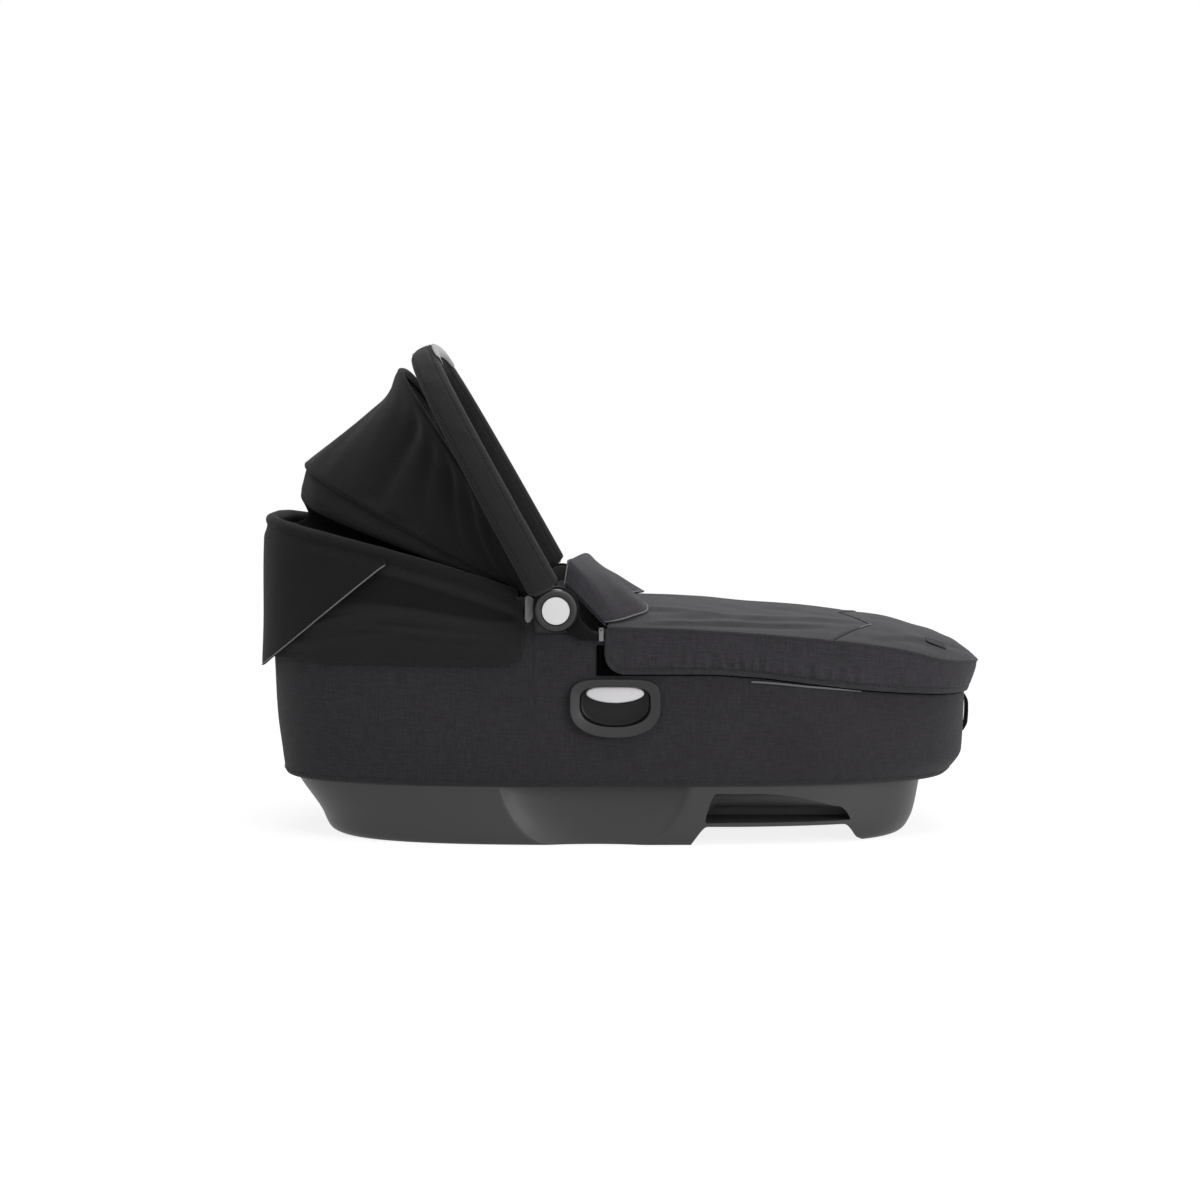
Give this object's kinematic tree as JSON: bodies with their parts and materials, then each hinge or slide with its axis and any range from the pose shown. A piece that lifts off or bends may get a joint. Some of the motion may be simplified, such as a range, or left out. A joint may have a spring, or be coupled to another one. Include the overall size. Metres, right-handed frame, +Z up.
{
  "type": "carrycot",
  "caption": "Fabric carrycot with a folding hood on a padded swing handle, a boot cover over the foot half and a moulded base with release handles.",
  "frame": {"origin": "on the floor, under the middle of the overall box", "axes": "+X along the carrycot to its foot end, +Y to its left side, +Z up; the hood is at -X"},
  "size_m": [0.87, 0.4456, 0.5886],
  "materials": {
    "base_plastic": "fine-grained matt moulding",
    "tub_board": "plain moulded sheet",
    "hub_plastic": "satin moulding",
    "button_plastic": "smooth, pale",
    "trigger_finish": "satin silver",
    "steel": "zinc-plated",
    "alloy": "drawn",
    "outer_fabric": "plain-woven, matt",
    "cover_fabric": "plain-woven, matt",
    "hood_fabric": "fine-woven, matt",
    "lining": "soft, padded",
    "mattress_cloth": "knitted cotton",
    "webbing": "ribbed webbing",
    "sleeve": "padded cloth",
    "grip": "soft-touch",
    "piping": "pale reflective"
  },
  "bodies": {
    "tub": {"base_shell": "base_plastic", "base_screw_1": "steel", "base_screw_2": "steel", "base_screw_3": "steel", "base_screw_4": "steel", "inner_tub": "tub_board", "body_cover": "outer_fabric", "inner_liner": "lining", "mattress": "mattress_cloth", "rim_roll": "outer_fabric", "foot_rim": "outer_fabric", "hood_skirt": "hood_fabric", "rear_curtain": "hood_fabric", "foot_strap": "webbing", "hood_rear_fabric": "hood_fabric", "hub_bracket_right": "hub_plastic", "hub_bracket_left": "hub_plastic", "hub_bolt_right": "steel", "hub_bolt_left": "steel", "gear_spring_right": "steel", "gear_spring_left": "steel", "release_bezel_right": "hub_plastic", "release_bezel_left": "hub_plastic", "release_cup_right": "hub_plastic", "release_cup_left": "hub_plastic", "trigger_spring_right": "steel", "trigger_spring_left": "steel", "adapter_socket_right": "hub_plastic", "adapter_socket_left": "hub_plastic", "reflective_piping_right": "piping", "reflective_piping_left": "piping"},
    "mid_bow": {"mid_bow": "steel", "hood_front_fabric": "hood_fabric"},
    "handle": {"handle_tube": "alloy", "handle_sleeve": "sleeve", "handle_grip": "grip", "front_bow": "steel", "hub_ring_right": "hub_plastic", "hub_ring_left": "hub_plastic", "hub_washer_right": "steel", "hub_washer_left": "steel"},
    "hub_button_right": {"hub_button_right": "button_plastic"},
    "hub_button_left": {"hub_button_left": "button_plastic"},
    "lock_gear_right": {"lock_gear_right": "steel"},
    "lock_gear_left": {"lock_gear_left": "steel"},
    "release_trigger_right": {"release_trigger_right": "trigger_finish"},
    "release_trigger_left": {"release_trigger_left": "trigger_finish"},
    "latch_bolt_right": {"latch_bolt_right": "steel"},
    "latch_bolt_left": {"latch_bolt_left": "steel"},
    "boot_cover": {"boot_top_panel": "cover_fabric", "boot_foot_panel": "cover_fabric", "boot_skirt": "cover_fabric", "boot_collar": "cover_fabric", "boot_tab": "grip", "zip_slider_right": "hub_plastic", "zip_slider_left": "hub_plastic"},
    "zip_pull_right": {"zip_pull_right": "piping"},
    "zip_pull_left": {"zip_pull_left": "piping"}
  },
  "joints": [
    {"name": "mid_bow_swing", "type": "hinge", "parent": "tub", "child": "mid_bow", "pos_m": [-0.0743, 0, 0.281], "axis": [0, 1, 0], "range_deg": [-8.5, 17.3], "deforming": ["hood_rear_fabric"]},
    {"name": "handle_swing", "type": "hinge", "parent": "mid_bow", "child": "handle", "pos_m": [-0.0743, 0, 0.281], "axis": [0, 1, 0], "range_deg": [-15.6, 31.85], "deforming": ["hood_front_fabric"]},
    {"name": "hub_button_right_press", "type": "slide", "parent": "handle", "child": "hub_button_right", "axis": [0, 1, 0], "range_m": [0, 0.0045], "stiffness_N_per_m": 600, "springref_m": -0.005},
    {"name": "hub_button_left_press", "type": "slide", "parent": "handle", "child": "hub_button_left", "axis": [0, -1, 0], "range_m": [0, 0.0045], "stiffness_N_per_m": 600, "springref_m": -0.005},
    {"name": "lock_gear_right_slide", "type": "slide", "parent": "tub", "child": "lock_gear_right", "axis": [0, 1, 0], "range_m": [0, 0.0045], "deforming": ["gear_spring_right"]},
    {"name": "lock_gear_left_slide", "type": "slide", "parent": "tub", "child": "lock_gear_left", "axis": [0, -1, 0], "range_m": [0, 0.0045], "deforming": ["gear_spring_left"]},
    {"name": "release_trigger_right_pull", "type": "slide", "parent": "tub", "child": "release_trigger_right", "axis": [0, 0, 1], "range_m": [0, 0.0038], "stiffness_N_per_m": 500, "springref_m": -0.006, "deforming": ["trigger_spring_right"]},
    {"name": "release_trigger_left_pull", "type": "slide", "parent": "tub", "child": "release_trigger_left", "axis": [0, 0, 1], "range_m": [0, 0.0038], "stiffness_N_per_m": 500, "springref_m": -0.006, "deforming": ["trigger_spring_left"]},
    {"name": "latch_bolt_right_slide", "type": "slide", "parent": "tub", "child": "latch_bolt_right", "axis": [1, 0, 0], "range_m": [0, 0.006]},
    {"name": "latch_bolt_left_slide", "type": "slide", "parent": "tub", "child": "latch_bolt_left", "axis": [1, 0, 0], "range_m": [0, 0.006]},
    {"name": "boot_cover_fold", "type": "hinge", "parent": "tub", "child": "boot_cover", "pos_m": [0.437, 0, 0.178], "axis": [0, 1, 0], "range_deg": [0, 95]},
    {"name": "zip_pull_right_swing", "type": "hinge", "parent": "boot_cover", "child": "zip_pull_right", "pos_m": [-0.02255, -0.1947, 0.2565], "axis": [0, 1, 0], "range_deg": [-60, 60]},
    {"name": "zip_pull_left_swing", "type": "hinge", "parent": "boot_cover", "child": "zip_pull_left", "pos_m": [-0.02255, 0.1947, 0.2565], "axis": [0, 1, 0], "range_deg": [-60, 60]}
  ],
  "couplings": [
    {"joint": "mid_bow_swing", "follows": "handle_swing", "ratio": 0.5385},
    {"joint": "lock_gear_right_slide", "follows": "hub_button_right_press", "ratio": 1},
    {"joint": "lock_gear_left_slide", "follows": "hub_button_left_press", "ratio": 1},
    {"joint": "latch_bolt_right_slide", "follows": "release_trigger_right_pull", "ratio": 1.5789},
    {"joint": "latch_bolt_left_slide", "follows": "release_trigger_left_pull", "ratio": 1.5789}
  ]
}
